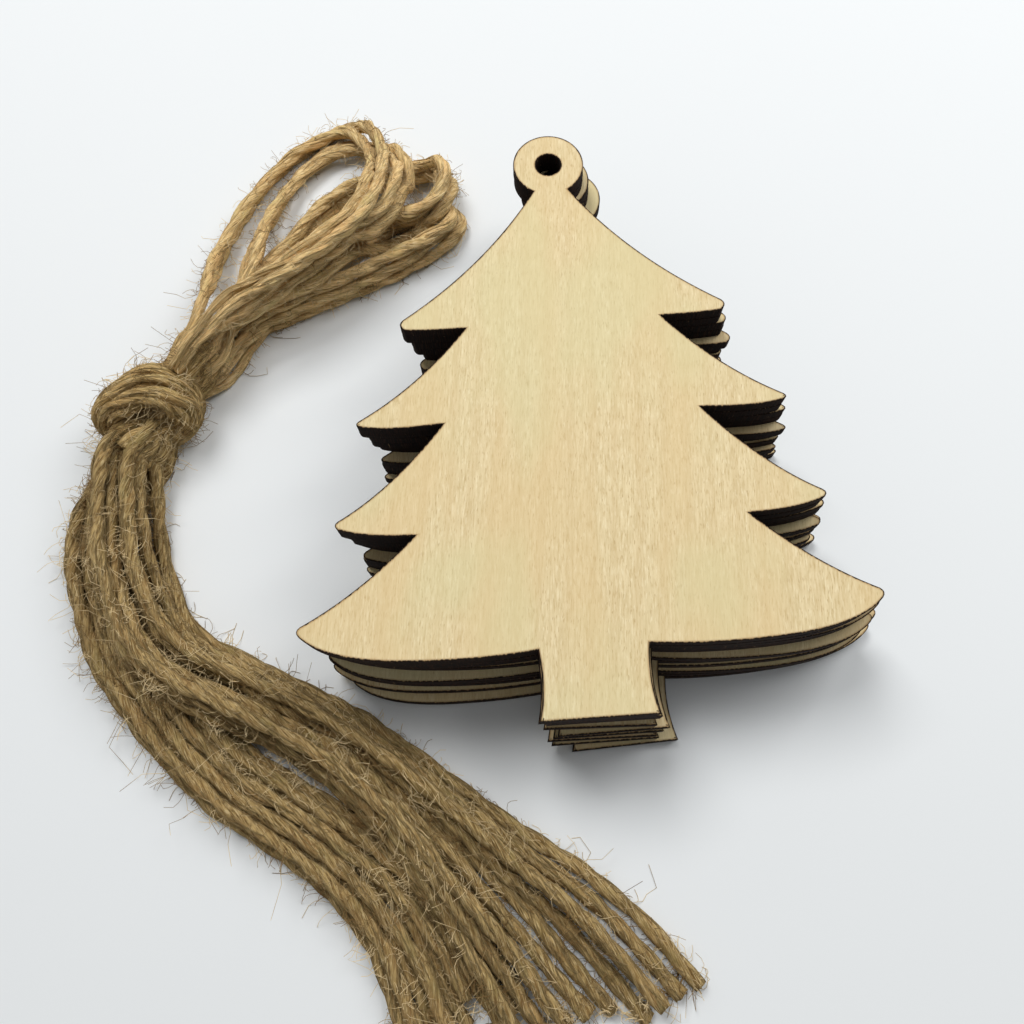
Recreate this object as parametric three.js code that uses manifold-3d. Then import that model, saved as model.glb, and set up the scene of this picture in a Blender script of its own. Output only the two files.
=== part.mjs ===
// A stack of ten wooden tree tags, and the bundle of ten jute strings that hangs them.
// Millimetres, +Z up. The origin is on the underside of the bottom tag, under the middle of the
// top tag. The ring of each tag points to +Y and its trunk to -Y.
import * as THREE from 'three';
import Module from 'manifold-3d';
import { mergeVertices } from 'three/addons/utils/BufferGeometryUtils.js';

const wasm = await Module();
wasm.setup();

// One tag, with heights measured up from the foot of its trunk
const TAG_THICKNESS = 2.0;
const RING_RADIUS = 5.65;
const RING_HEIGHT = 87.15;
const HOLE_RADIUS = 2.0;
const NECK_HALF_WIDTH = 2.8;
const TRUNK_HEIGHT = 9.35;
const TRUNK_HALF_WIDTH = 7.5;
const TRUNK_FOOT_HALF_WIDTH = 7.95;
const TRUNK_FLARE = 1.0;
const RING_STEPS = 20;
const HOLE_STEPS = 16;

// The four tiers of branches, from the top one down: how far out their tips and their roots are
// and how high. The root is where a tier's lower edge meets the tier below it.
const TIP_HALF_WIDTHS = [25.2, 31.8, 35.0, 40.3];
const TIP_HEIGHTS = [59.7, 43.9, 28.8, 14.1];
const ROOT_HALF_WIDTHS = [14.8, 18.8, 23.4, 24.0];
const ROOT_HEIGHTS = [58.5, 43.1, 26.5, 8.95];

// How each tier bends. under and over lead from the corner that its blunt tip rounds off to the
// ends of the lower and the upper edge, and belly and hollow lead from the middle of the lower and
// the upper edge to the point that the edge leans towards.
const TIER_BENDS = [
  { under: [-1.2, -0.9], over: [-1.0, 0.9], belly: [1.6, -0.25], hollow: [-2.3, -2.25] },
  { under: [-0.7, -0.4], over: [-0.7, 0.5], belly: [2.55, -0.9], hollow: [-0.65, -2.15] },
  { under: [-0.7, -0.7], over: [-0.8, 0.5], belly: [1.65, -0.8], hollow: [0, -2.6] },
  { under: [-0.7, -0.8], over: [-0.9, 0.6], belly: [4.0, -1.7], hollow: [0.1, -2.0] },
];
const TIERS = TIER_BENDS.map((bends, i) => (
  { ...bends, tip: [TIP_HALF_WIDTHS[i], TIP_HEIGHTS[i]], root: [ROOT_HALF_WIDTHS[i], ROOT_HEIGHTS[i]] }
));
const SKIRT_BELLY = [-0.75, -0.65];

// How each tag lies in the stack, from the top one down: along X, along Y, and its turn in degrees
const TAG_LIE = [
  [0, 0, 0],
  [-0.05, 0, -0.2],
  [1.0, 0, -0.2],
  [1.1, 0, -0.2],
  [2.0, -0.65, -1.8],
  [2.0, -1.3, 0.7],
  [1.85, -1.5, 0.1],
  [1.9, -1.85, -0.9],
  [1.6, -2.2, 0.2],
  [3.0, -2.9, 2.3],
];

// Ten jute strings, each folded in half, tied together in one overhand knot
const STRING_DIAMETER = 2.0;
const SQUEEZED_DIAMETER = 1.3;
const STRING_GAP = 0.3;
const CROSSING_GAP = 0.1;
const NECK_GAP = 0.4;
const FLOOR_GAP = 0.05;
const KNOT_GAP = 0.3;
const TAPER_LENGTH = 26;
const STRAIGHT_RUN = 2.5;
const LARGEST_SLOPE = 0.7;
const SAMPLE_STEP = 1;
const SAME_STRETCH = 12;
const LOOP_STEPS = 24;
const LOOP_SIDES = 6;
const TAIL_SIDES = 8;
const KNOT_SEGMENTS = 16;
const LANE = STRING_DIAMETER + STRING_GAP;
const NECK_LANE = SQUEEZED_DIAMETER + NECK_GAP;

// The overhand knot. The bundle of strings runs in from the neck, turns up at the far end, wraps
// back over itself and dives under itself, and comes out as the tails. Its way is [u, w, height,
// radius]: u from the middle of the knot towards the neck, w to the left of that.
const KNOT_CENTRE = [-66.8, 9.3];
const NECK_ANGLE = 50;
const NECK_REACH = 10.5;
const EXIT_ANGLE = 242;
const EXIT_REACH = 7;
const KNOT_CORE = [8.5, 5.2, 5.5];
const KNOT_CORE_HEIGHT = 5.6;
const STANDING_PART = [
  [12, 0, 6.6, 4.4], [8, 0, 6.2, 4.1], [3, 0.5, 5.4, 3.6], [-2, 1.6, 4.6, 3.4], [-6, 3.6, 4.6, 3.2],
];
const WRAP = [
  [-6, 3.6, 4.6, 3.2], [-5.2, 5, 7, 3.1], [-1.4, 4.8, 9.4, 3.1], [3, 3, 10.6, 3.1],
  [5.8, -0.6, 9.8, 3.1], [5, -3.4, 6.6, 3], [1.6, -3.6, 3.6, 3],
];
const OUTGOING_PART = [[1.6, -3.6, 3.6, 3], [-2, -2.6, 3.8, 3.4], [-5.5, -0.8, 4.8, 4.4], [-9, 0, 5, 5]];
const KNOT_SIDES = 12;
const KNOT_STEPS_PER_POINT = 2;

// The rails that the loops follow, from the neck of the knot out and back to it, seen from above
const LOW_RAIL = [
  [-53.5, 29.3], [-46.4, 34.4], [-38.8, 39.8], [-31, 44.3], [-24.1, 47.4], [-19.3, 48.3], [-16.6, 46.8],
  [-15.4, 43.9], [-17.2, 40.8], [-21.1, 38.2], [-27, 35.1], [-33.9, 31.9], [-40.6, 29.4], [-46.3, 26.9],
  [-51.2, 24.7],
];
const MIDDLE_RAIL = [
  [-54.7, 30.8], [-51.4, 35.2], [-48.2, 39.7], [-45.2, 44.5], [-42.1, 48.4], [-38.2, 51.8],
  [-34.3, 53.7], [-29.8, 55.1], [-25.7, 55.9], [-22.3, 56.3], [-19.5, 56.3], [-17.3, 54.4],
  [-16.1, 50.7], [-17.4, 46], [-21.6, 42.5], [-26.6, 41.6], [-33, 37.2], [-38.9, 31.5], [-45.3, 28],
  [-51.8, 25.3],
];
const INNER_ARCH_RAIL = [
  [-55.2, 26.3], [-52.6, 31.8], [-51.4, 39.2], [-49.5, 48.6], [-46.3, 55.8], [-42.2, 60.4], [-37.4, 63],
  [-33, 63.6], [-28.4, 61.2], [-25.1, 56.4], [-23.9, 51.8], [-24.9, 47], [-26.8, 41.8], [-30, 38.2],
  [-34.2, 36.1], [-39, 31.3], [-44.2, 28.4], [-48.4, 24.4],
];
const OUTER_ARCH_RAIL = [
  [-59.7, 30.4], [-59.6, 39.3], [-57.5, 45.1], [-54.2, 51.5], [-50.7, 56.4], [-46.1, 61.4],
  [-41.4, 64.7], [-37.4, 66.9], [-33.5, 65.8], [-30.1, 61.4], [-28.3, 55.5], [-28, 49.4], [-28.9, 43.1],
  [-30.8, 38.4], [-33.9, 34.6], [-38.2, 31.5], [-42.6, 28.3], [-47.4, 25.7], [-51.7, 23.8],
];

// The loops in the order in which they lie on each other. leave and enter are the lanes in which
// a loop leaves and enters the neck, counted to the left as seen from the knot. out, tip and back
// are how many lanes inside its rail the loop runs on the way out, at its tip and on the way back.
const LOOPS = [
  { rail: LOW_RAIL, leave: 1, out: 0, tip: 0, back: 0, enter: -2 },
  { rail: LOW_RAIL, leave: 0, out: 0.9, tip: 1, back: 0, enter: -1.5 },
  { rail: LOW_RAIL, leave: 0.5, out: 0.4, tip: 0.5, back: 0.4, enter: -1.5 },
  { rail: MIDDLE_RAIL, leave: 2, out: 0, tip: 0, back: 0, enter: -0.5 },
  { rail: MIDDLE_RAIL, leave: 1.5, out: 0.9, tip: 0.8, back: 0.9, enter: -2 },
  { rail: MIDDLE_RAIL, leave: 1, out: 0.5, tip: 0.4, back: 0.5, enter: -1 },
  { rail: INNER_ARCH_RAIL, leave: 2, out: 0, tip: 0, back: 0, enter: 0 },
  { rail: INNER_ARCH_RAIL, leave: 1.5, out: 0.7, tip: 1, back: 0.3, enter: -0.5 },
  { rail: OUTER_ARCH_RAIL, leave: 2, out: 0, tip: 0, back: 0, enter: -1 },
  { rail: OUTER_ARCH_RAIL, leave: 1.5, out: 0.4, tip: 1, back: 0.9, enter: -0.5 },
];

// The two tresses of tails, seen from above: the middle of each from the knot to its ends, and how
// far its lanes have spread there, in lanes
const LEFT_TRESS = [
  [-76.2, -8.1, 1], [-76.4, -15.1, 1], [-74.8, -20.7, 1], [-71.5, -29.9, 1],
  [-66.6, -36.3, 1], [-61.1, -43.2, 1], [-53.7, -50.4, 1], [-43.3, -57.5, 1], [-35.7, -63.2, 1.1],
  [-29.2, -70, 1.3], [-25.2, -76, 1.5], [-22, -82.3, 1.7], [-19.5, -86.7, 1.8],
];
const RIGHT_TRESS = [
  [-71.4, -9.6, 1], [-70.6, -16.2, 1], [-69, -21.2, 1], [-65, -29.3, 1],
  [-60, -33.6, 1], [-53, -37.5, 1], [-45.9, -41.4, 1], [-36.7, -47, 1.05], [-23.9, -58.2, 1.3],
  [-15.6, -66.8, 1.7], [-10.2, -72.6, 2.1], [-4.5, -79.5, 2.4], [3.4, -89, 2.4],
];

// The tails in the order in which they lie on each other: tress, lane, and length of the last bit
const TAILS = [
  { tress: LEFT_TRESS, lane: -2, cut: 3 },
  { tress: LEFT_TRESS, lane: -1, cut: 0 },
  { tress: LEFT_TRESS, lane: 0, cut: 2 },
  { tress: LEFT_TRESS, lane: 1, cut: 4 },
  { tress: LEFT_TRESS, lane: 2, cut: 0 },
  { tress: LEFT_TRESS, lane: -1.5, cut: 0 },
  { tress: LEFT_TRESS, lane: -0.5, cut: 5 },
  { tress: LEFT_TRESS, lane: 0.5, cut: 1 },
  { tress: LEFT_TRESS, lane: 1.5, cut: 2 },
  { tress: RIGHT_TRESS, lane: -2, cut: 0 },
  { tress: RIGHT_TRESS, lane: -1, cut: 3 },
  { tress: RIGHT_TRESS, lane: 0, cut: 6 },
  { tress: RIGHT_TRESS, lane: 1, cut: 9 },
  { tress: RIGHT_TRESS, lane: 2, cut: 10 },
  { tress: RIGHT_TRESS, lane: -1.5, cut: 1 },
  { tress: RIGHT_TRESS, lane: -0.5, cut: 2 },
  { tress: RIGHT_TRESS, lane: 0.5, cut: 8 },
  { tress: RIGHT_TRESS, lane: 1.5, cut: 9 },
  { tress: RIGHT_TRESS, lane: -1, cut: 2 },
  { tress: RIGHT_TRESS, lane: 1, cut: 10 },
];

const WOOD = { color: 0xdcc596, roughness: 0.75, metalness: 0 };
const JUTE = { color: 0xa98a5c, roughness: 0.95, metalness: 0 };

const object = new THREE.Group();

function addMesh(name, geometry, finish) {
  const mesh = new THREE.Mesh(geometry, new THREE.MeshStandardMaterial(finish));
  mesh.name = name;
  object.add(mesh);
  return mesh;
}

function add(a, b) {
  return [a[0] + b[0], a[1] + b[1]];
}

function direction(degrees) {
  const turn = THREE.MathUtils.degToRad(degrees);
  return [Math.cos(turn), Math.sin(turn)];
}

// The points of an edge from a to b after its first one. lean leads from the middle of the
// straight line between them to the point that the edge leans towards.
function edge(a, b, lean, steps) {
  const control = [(a[0] + b[0]) / 2 + lean[0], (a[1] + b[1]) / 2 + lean[1]];
  const ends = [a, control, b].map((point) => new THREE.Vector2(...point));
  return new THREE.QuadraticBezierCurve(...ends).getPoints(steps).slice(1);
}

// The rounded tip of a tier, from its lower edge to its upper edge
function tipPoints(tier) {
  const ends = [add(tier.tip, tier.under), tier.tip, add(tier.tip, tier.over)];
  const curve = new THREE.QuadraticBezierCurve(...ends.map((point) => new THREE.Vector2(...point)));
  return curve.getPoints(2).slice(1);
}

// Evenly spaced points on a circle round the middle of the ring
function ringPoints(radius, start, sweep, steps) {
  const points = [];
  for (let i = 0; i <= steps; i += 1) {
    const angle = start + (sweep * i) / steps;
    points.push(new THREE.Vector2(radius * Math.cos(angle), RING_HEIGHT + radius * Math.sin(angle)));
  }
  return points;
}

// The right half of the outline, from the foot of the trunk up to the ring
function halfOutline() {
  const foot = [TRUNK_FOOT_HALF_WIDTH, 0];
  const trunkTop = [TRUNK_HALF_WIDTH, TRUNK_HEIGHT];
  const neckDrop = Math.sqrt(RING_RADIUS ** 2 - NECK_HALF_WIDTH ** 2);
  const neck = [NECK_HALF_WIDTH, RING_HEIGHT - neckDrop];
  const skirt = TIERS[TIERS.length - 1];
  const points = [
    new THREE.Vector2(...foot),
    ...edge(foot, trunkTop, [-TRUNK_FLARE, 0], 3),
    ...edge(trunkTop, skirt.root, SKIRT_BELLY, 2),
  ];
  for (let i = TIERS.length - 1; i >= 0; i -= 1) {
    const tier = TIERS[i];
    const above = i > 0 ? TIERS[i - 1].root : neck;
    points.push(...edge(tier.root, add(tier.tip, tier.under), tier.belly, 3));
    points.push(...tipPoints(tier));
    points.push(...edge(add(tier.tip, tier.over), above, tier.hollow, i > 0 ? 4 : 6));
  }
  return points;
}

// One tag, extruded up from z = 0, with the middle of its height at y = 0
function tagGeometry() {
  const half = halfOutline();
  const neck = half[half.length - 1];
  const start = Math.atan2(neck.y - RING_HEIGHT, neck.x);
  const ring = ringPoints(RING_RADIUS, start, Math.PI - 2 * start, RING_STEPS).slice(1, -1);
  const mirrored = half.map((point) => new THREE.Vector2(-point.x, point.y)).reverse();
  const shape = new THREE.Shape([...half, ...ring, ...mirrored]);
  const hole = ringPoints(HOLE_RADIUS, 0, -2 * Math.PI, HOLE_STEPS).slice(1);
  shape.holes.push(new THREE.Path(hole));
  const geometry = new THREE.ExtrudeGeometry(shape, { depth: TAG_THICKNESS, bevelEnabled: false });
  return geometry.translate(0, -(RING_HEIGHT + RING_RADIUS) / 2, 0);
}

const tagBody = tagGeometry();
TAG_LIE.forEach(([x, y, turn], fromTop) => {
  const level = TAG_LIE.length - 1 - fromTop;
  const tag = addMesh(`tag_${String(level + 1).padStart(2, '0')}`, tagBody, WOOD);
  tag.position.set(x, y, level * TAG_THICKNESS);
  tag.rotation.z = THREE.MathUtils.degToRad(turn);
});

// Strings that are laid already, as samples [x, y, z, radius]
const laid = [];

// Lifts one station so that the string sinks no steeper than LARGEST_SLOPE from the station before
function easeDown(from, to) {
  const run = Math.hypot(to.x - from.x, to.y - from.y);
  to.z = Math.max(to.z, from.z - LARGEST_SLOPE * run);
}

// Makes the end of a string level, so that it meets a face squarely
function levelEnd(end, next) {
  const height = Math.max(end.z, next.z);
  end.z = height;
  next.z = height;
}

// Lays a string on the floor and on the strings that are laid already. stations are [x, y,
// radius] seen from above. A string rises to a crossing and sinks after it no steeper than
// LARGEST_SLOPE, and it is straight between two stations.
function lay(stations) {
  const samples = [];
  for (let i = 0; i + 1 < stations.length; i += 1) {
    const [x0, y0, r0] = stations[i];
    const [x1, y1, r1] = stations[i + 1];
    const steps = Math.ceil(Math.hypot(x1 - x0, y1 - y0) / SAMPLE_STEP);
    for (let j = i > 0 ? 1 : 0; j <= steps; j += 1) {
      const t = j / steps;
      const radius = r0 + (r1 - r0) * t;
      const [x, y] = [x0 + (x1 - x0) * t, y0 + (y1 - y0) * t];
      samples.push({ x, y, radius, place: i + t, z: radius + FLOOR_GAP });
    }
  }
  for (const sample of samples) {
    for (const [x, y, z, radius] of laid) {
      const reach = sample.radius + radius + CROSSING_GAP;
      const across = (sample.x - x) ** 2 + (sample.y - y) ** 2;
      if (across < reach ** 2) sample.z = Math.max(sample.z, z + Math.sqrt(reach ** 2 - across));
    }
  }
  for (let i = 1; i < samples.length; i += 1) easeDown(samples[i - 1], samples[i]);
  for (let i = samples.length - 1; i > 0; i -= 1) easeDown(samples[i], samples[i - 1]);
  const points = stations.map(([x, y, radius], i) => {
    const near = samples.filter((sample) => Math.abs(sample.place - i) <= 0.5);
    return { x, y, z: Math.max(...near.map((sample) => sample.z)), radius };
  });
  levelEnd(points[0], points[1]);
  levelEnd(points[points.length - 1], points[points.length - 2]);
  for (const sample of samples) {
    const i = Math.min(Math.floor(sample.place), points.length - 2);
    sample.z = points[i].z + (points[i + 1].z - points[i].z) * (sample.place - i);
    laid.push([sample.x, sample.y, sample.z, sample.radius]);
  }
  return points;
}

// A closed tube round the points, each with a radius, with a flat face at both ends
function tubeGeometry(points, sides) {
  const centres = points.map((point) => new THREE.Vector3(point.x, point.y, point.z));
  const corners = [];
  centres.forEach((centre, i) => {
    const before = centres[Math.max(i - 1, 0)];
    const after = centres[Math.min(i + 1, centres.length - 1)];
    const along = new THREE.Vector3().subVectors(after, before).normalize();
    const side = new THREE.Vector3(along.y, -along.x, 0).normalize();
    const up = new THREE.Vector3().crossVectors(side, along);
    for (let j = 0; j < sides; j += 1) {
      const angle = (2 * Math.PI * j) / sides;
      const corner = centre.clone()
        .addScaledVector(side, points[i].radius * Math.cos(angle))
        .addScaledVector(up, points[i].radius * Math.sin(angle));
      corners.push(corner.x, corner.y, corner.z);
    }
  });
  const faces = [];
  for (let i = 0; i + 1 < points.length; i += 1) {
    for (let j = 0; j < sides; j += 1) {
      const k = (j + 1) % sides;
      const [a, b, c, d] = [i * sides + j, i * sides + k, (i + 1) * sides + k, (i + 1) * sides + j];
      faces.push(a, c, b, a, d, c);
    }
  }
  const last = (points.length - 1) * sides;
  for (let j = 1; j + 1 < sides; j += 1) {
    faces.push(0, j, j + 1);
    faces.push(last, last + j + 1, last + j);
  }
  const geometry = new THREE.BufferGeometry();
  geometry.setAttribute('position', new THREE.Float32BufferAttribute(corners, 3));
  geometry.setIndex(faces);
  geometry.computeVertexNormals();
  return geometry;
}

const neckAlong = direction(NECK_ANGLE);
const neckLeft = direction(NECK_ANGLE + 90);
const neckFace = add(KNOT_CENTRE, neckAlong.map((value) => value * (NECK_REACH + KNOT_GAP)));

function neckPoint(lane, run) {
  const across = lane * NECK_LANE;
  return [0, 1].map((axis) => neckFace[axis] + neckLeft[axis] * across + neckAlong[axis] * run);
}

// A rail point moved to the right of the way the rail runs there
function besideRail(rail, i, distance) {
  const before = rail[Math.max(i - 1, 0)];
  const after = rail[Math.min(i + 1, rail.length - 1)];
  const length = Math.hypot(after[0] - before[0], after[1] - before[1]);
  return [
    rail[i][0] + ((after[1] - before[1]) / length) * distance,
    rail[i][1] - ((after[0] - before[0]) / length) * distance,
  ];
}

// How many lanes inside its rail a loop runs at a share of the way round: its value on the way
// out, at the tip in the middle, or on the way back, with an even change between them
function laneInside(loop, share) {
  const outward = THREE.MathUtils.smoothstep(share, 0.25, 0.5);
  const homeward = THREE.MathUtils.smoothstep(share, 0.5, 0.75);
  return loop.out + (loop.tip - loop.out) * outward + (loop.back - loop.tip) * homeward;
}

function loopStations(loop) {
  const middle = loop.rail.map((point, i) => (
    besideRail(loop.rail, i, laneInside(loop, i / (loop.rail.length - 1)) * LANE)
  ));
  const plan = [
    neckPoint(loop.leave, 0), neckPoint(loop.leave, STRAIGHT_RUN), ...middle,
    neckPoint(loop.enter, STRAIGHT_RUN), neckPoint(loop.enter, 0),
  ];
  const curve = new THREE.CatmullRomCurve3(plan.map(([x, y]) => new THREE.Vector3(x, y, 0)));
  const points = curve.getPoints(LOOP_STEPS);
  return points.map((point) => {
    const away = Math.hypot(point.x - neckFace[0], point.y - neckFace[1]);
    const swell = THREE.MathUtils.smoothstep(away, NECK_LANE * 2, TAPER_LENGTH);
    const diameter = SQUEEZED_DIAMETER + (STRING_DIAMETER - SQUEEZED_DIAMETER) * swell;
    return [point.x, point.y, diameter / 2];
  });
}

// The least gap between two stretches of a loop that are further apart along it than SAME_STRETCH
function leastGapToItself(points) {
  const samples = [];
  let along = 0;
  for (let i = 0; i + 1 < points.length; i += 1) {
    const [a, b] = [points[i], points[i + 1]];
    const length = Math.hypot(b.x - a.x, b.y - a.y, b.z - a.z);
    const steps = Math.ceil(length / SAMPLE_STEP);
    for (let j = 0; j < steps; j += 1) {
      const t = j / steps;
      const [x, y, z, radius] = ['x', 'y', 'z', 'radius'].map((key) => a[key] + (b[key] - a[key]) * t);
      samples.push({ x, y, z, radius, along: along + length * t });
    }
    along += length;
  }
  let least = Infinity;
  for (const a of samples) {
    for (const b of samples) {
      if (b.along - a.along < SAME_STRETCH) continue;
      least = Math.min(least, Math.hypot(b.x - a.x, b.y - a.y, b.z - a.z) - a.radius - b.radius);
    }
  }
  return least;
}

LOOPS.forEach((loop, i) => {
  const name = `string_${String(i + 1).padStart(2, '0')}_loop`;
  const points = lay(loopStations(loop));
  addMesh(name, tubeGeometry(points, LOOP_SIDES), JUTE);
  console.log(`${name}: least gap to itself ${leastGapToItself(points).toFixed(2)} mm`);
});

const exitAlong = direction(EXIT_ANGLE);
const exitFace = add(KNOT_CENTRE, exitAlong.map((value) => value * (EXIT_REACH + KNOT_GAP)));

// A tail leaves the knot square to its face and follows its tress, in its lane
function tailStations(tail) {
  const start = add(exitFace, exitAlong.map((value) => value * STRAIGHT_RUN));
  const middle = [[...exitFace, 1], [...start, 1], ...tail.tress];
  const plan = middle.map((station, i) => besideRail(middle, i, tail.lane * station[2] * LANE));
  const [before, end] = plan.slice(-2);
  const kept = 1 - tail.cut / Math.hypot(end[0] - before[0], end[1] - before[1]);
  plan[plan.length - 1] = [0, 1].map((axis) => before[axis] + (end[axis] - before[axis]) * kept);
  return plan.map(([x, y]) => [x, y, STRING_DIAMETER / 2]);
}

const tailSection = new THREE.Shape();
tailSection.absarc(0, 0, STRING_DIAMETER / 2, 0, 2 * Math.PI);

// A tube through the points, with a ring at each of them
function tailGeometry(points) {
  const path = new THREE.CatmullRomCurve3(points.map(({ x, y, z }) => new THREE.Vector3(x, y, z)));
  path.getUtoTmapping = (share) => share;
  return new THREE.ExtrudeGeometry(tailSection, {
    steps: points.length - 1, curveSegments: TAIL_SIDES / 2, extrudePath: path,
  });
}

TAILS.forEach((tail, i) => {
  const string = String(Math.floor(i / 2) + 1).padStart(2, '0');
  const end = i % 2 === 0 ? 'a' : 'b';
  addMesh(`string_${string}_tail_${end}`, tailGeometry(lay(tailStations(tail))), JUTE);
});

// Geometry to manifold solid and back
function toSolid(geometry) {
  const bare = geometry.clone();
  bare.deleteAttribute('normal');
  bare.deleteAttribute('uv');
  const merged = mergeVertices(bare);
  return new wasm.Manifold(new wasm.Mesh({
    numProp: 3,
    vertProperties: new Float32Array(merged.attributes.position.array),
    triVerts: new Uint32Array(merged.index.array),
  }));
}

function toGeometry(solid) {
  const mesh = solid.getMesh();
  const geometry = new THREE.BufferGeometry();
  geometry.setAttribute('position', new THREE.Float32BufferAttribute(mesh.vertProperties, 3));
  geometry.setIndex(new THREE.Uint32BufferAttribute(mesh.triVerts, 1));
  geometry.computeVertexNormals();
  return geometry;
}

// Everything beyond a face of the knot, reach from its centre along an angle
function beyondFace(angle, reach) {
  const size = 8 * KNOT_CORE[0];
  const [x, y] = direction(angle).map((value) => value * (reach + size / 2));
  const block = new THREE.BoxGeometry(size, size, size);
  return toSolid(block.rotateZ(THREE.MathUtils.degToRad(angle)).translate(x, y, 0));
}

// A closed piece of the bundle along a part of its way through the knot
function bundlePart(way) {
  const steps = (way.length - 1) * KNOT_STEPS_PER_POINT;
  const line = new THREE.CatmullRomCurve3(way.map(([u, w, height]) => new THREE.Vector3(u, w, height)));
  const radii = new THREE.CatmullRomCurve3(way.map(([, , , radius], i) => new THREE.Vector3(i, radius, 0)));
  const stations = line.getPoints(steps).map((point, i) => (
    { x: point.x, y: point.y, z: point.z, radius: radii.getPoint(i / steps).y }
  ));
  return toSolid(tubeGeometry(stations, KNOT_SIDES));
}

function knotGeometry() {
  const core = new THREE.SphereGeometry(1, KNOT_SEGMENTS, KNOT_SEGMENTS / 2);
  core.scale(...KNOT_CORE);
  core.translate(0, 0, KNOT_CORE_HEIGHT);
  const size = 8 * KNOT_CORE[0];
  const floor = new THREE.BoxGeometry(size, size, size);
  floor.translate(0, 0, FLOOR_GAP - size / 2);
  const knot = toSolid(core)
    .add(bundlePart(STANDING_PART))
    .add(bundlePart(WRAP))
    .add(bundlePart(OUTGOING_PART))
    .subtract(beyondFace(0, NECK_REACH))
    .subtract(beyondFace(EXIT_ANGLE - NECK_ANGLE, EXIT_REACH))
    .subtract(toSolid(floor));
  return toGeometry(knot);
}

const knot = addMesh('string_knot', knotGeometry(), JUTE);
knot.position.set(...KNOT_CENTRE, 0);
knot.rotation.z = THREE.MathUtils.degToRad(NECK_ANGLE);

export default object;
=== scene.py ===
import math

import bmesh
import bpy
import numpy as np
from mathutils import Matrix, Vector
from mathutils.geometry import tessellate_polygon


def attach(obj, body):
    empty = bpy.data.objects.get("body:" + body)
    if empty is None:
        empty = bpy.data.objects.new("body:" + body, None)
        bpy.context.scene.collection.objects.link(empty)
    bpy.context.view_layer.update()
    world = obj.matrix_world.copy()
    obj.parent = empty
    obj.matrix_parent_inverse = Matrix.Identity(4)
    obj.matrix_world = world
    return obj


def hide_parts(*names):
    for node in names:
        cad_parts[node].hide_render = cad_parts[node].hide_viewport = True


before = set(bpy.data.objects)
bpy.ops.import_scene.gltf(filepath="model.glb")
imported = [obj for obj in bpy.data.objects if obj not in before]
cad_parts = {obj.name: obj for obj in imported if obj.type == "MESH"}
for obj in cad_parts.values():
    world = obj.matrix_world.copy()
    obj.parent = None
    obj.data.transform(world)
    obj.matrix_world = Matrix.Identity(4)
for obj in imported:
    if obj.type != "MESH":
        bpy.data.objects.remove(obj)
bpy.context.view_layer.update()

MM = 0.001


# The camera, as fitted to the ten layers of the stack in the photograph

CAMERA_PLACE = (-10.195, -55.374, 137.066)
CAMERA_PITCH = -17.96
CAMERA_YAW = -0.247
CAMERA_ROLL = -3.896
CAMERA_LENS = 30.83
CAMERA_SENSOR = 36.0


def photo_camera():
    """The camera that took the photograph, looking down on the table."""
    data = bpy.data.cameras.new("photo_camera")
    data.lens = CAMERA_LENS
    data.sensor_width = CAMERA_SENSOR
    data.clip_start = 0.005
    camera = bpy.data.objects.new("photo_camera", data)
    bpy.context.scene.collection.objects.link(camera)
    away = Matrix.Diagonal((1, -1, -1))
    turn = (Matrix.Rotation(math.radians(CAMERA_ROLL), 3, "Z")
            @ Matrix.Rotation(math.radians(CAMERA_YAW), 3, "Y")
            @ Matrix.Rotation(math.radians(CAMERA_PITCH), 3, "X") @ away)
    pose = (turn.transposed() @ away).to_4x4()
    pose.translation = Vector(CAMERA_PLACE) * MM
    camera.matrix_world = pose
    bpy.context.scene.camera = camera


# The strings as they lie, in millimetres. Their routes are those of the solids.

STRING_DIAMETER = 2.0
SQUEEZED_DIAMETER = 1.3
STRING_GAP = 0.3
CROSSING_GAP = 0.1
NECK_GAP = 0.4
FLOOR_GAP = 0.05
KNOT_GAP = 0.3
TAPER_LENGTH = 26
STRAIGHT_RUN = 2.5
LARGEST_SLOPE = 0.7
SAMPLE_STEP = 1
LOOP_STEPS = 24
LANE = STRING_DIAMETER + STRING_GAP
NECK_LANE = SQUEEZED_DIAMETER + NECK_GAP

KNOT_CENTRE = (-66.8, 9.3)
NECK_ANGLE = 50
NECK_REACH = 10.5
EXIT_ANGLE = 242
EXIT_REACH = 7

LOW_RAIL = [
    (-53.5, 29.3), (-46.4, 34.4), (-38.8, 39.8), (-31, 44.3), (-24.1, 47.4), (-19.3, 48.3),
    (-16.6, 46.8), (-15.4, 43.9), (-17.2, 40.8), (-21.1, 38.2), (-27, 35.1), (-33.9, 31.9),
    (-40.6, 29.4), (-46.3, 26.9), (-51.2, 24.7),
]
MIDDLE_RAIL = [
    (-54.7, 30.8), (-51.4, 35.2), (-48.2, 39.7), (-45.2, 44.5), (-42.1, 48.4), (-38.2, 51.8),
    (-34.3, 53.7), (-29.8, 55.1), (-25.7, 55.9), (-22.3, 56.3), (-19.5, 56.3), (-17.3, 54.4),
    (-16.1, 50.7), (-17.4, 46), (-21.6, 42.5), (-26.6, 41.6), (-33, 37.2), (-38.9, 31.5), (-45.3, 28),
    (-51.8, 25.3),
]
INNER_ARCH_RAIL = [
    (-55.2, 26.3), (-52.6, 31.8), (-51.4, 39.2), (-49.5, 48.6), (-46.3, 55.8), (-42.2, 60.4),
    (-37.4, 63), (-33, 63.6), (-28.4, 61.2), (-25.1, 56.4), (-23.9, 51.8), (-24.9, 47), (-26.8, 41.8),
    (-30, 38.2), (-34.2, 36.1), (-39, 31.3), (-44.2, 28.4), (-48.4, 24.4),
]
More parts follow.
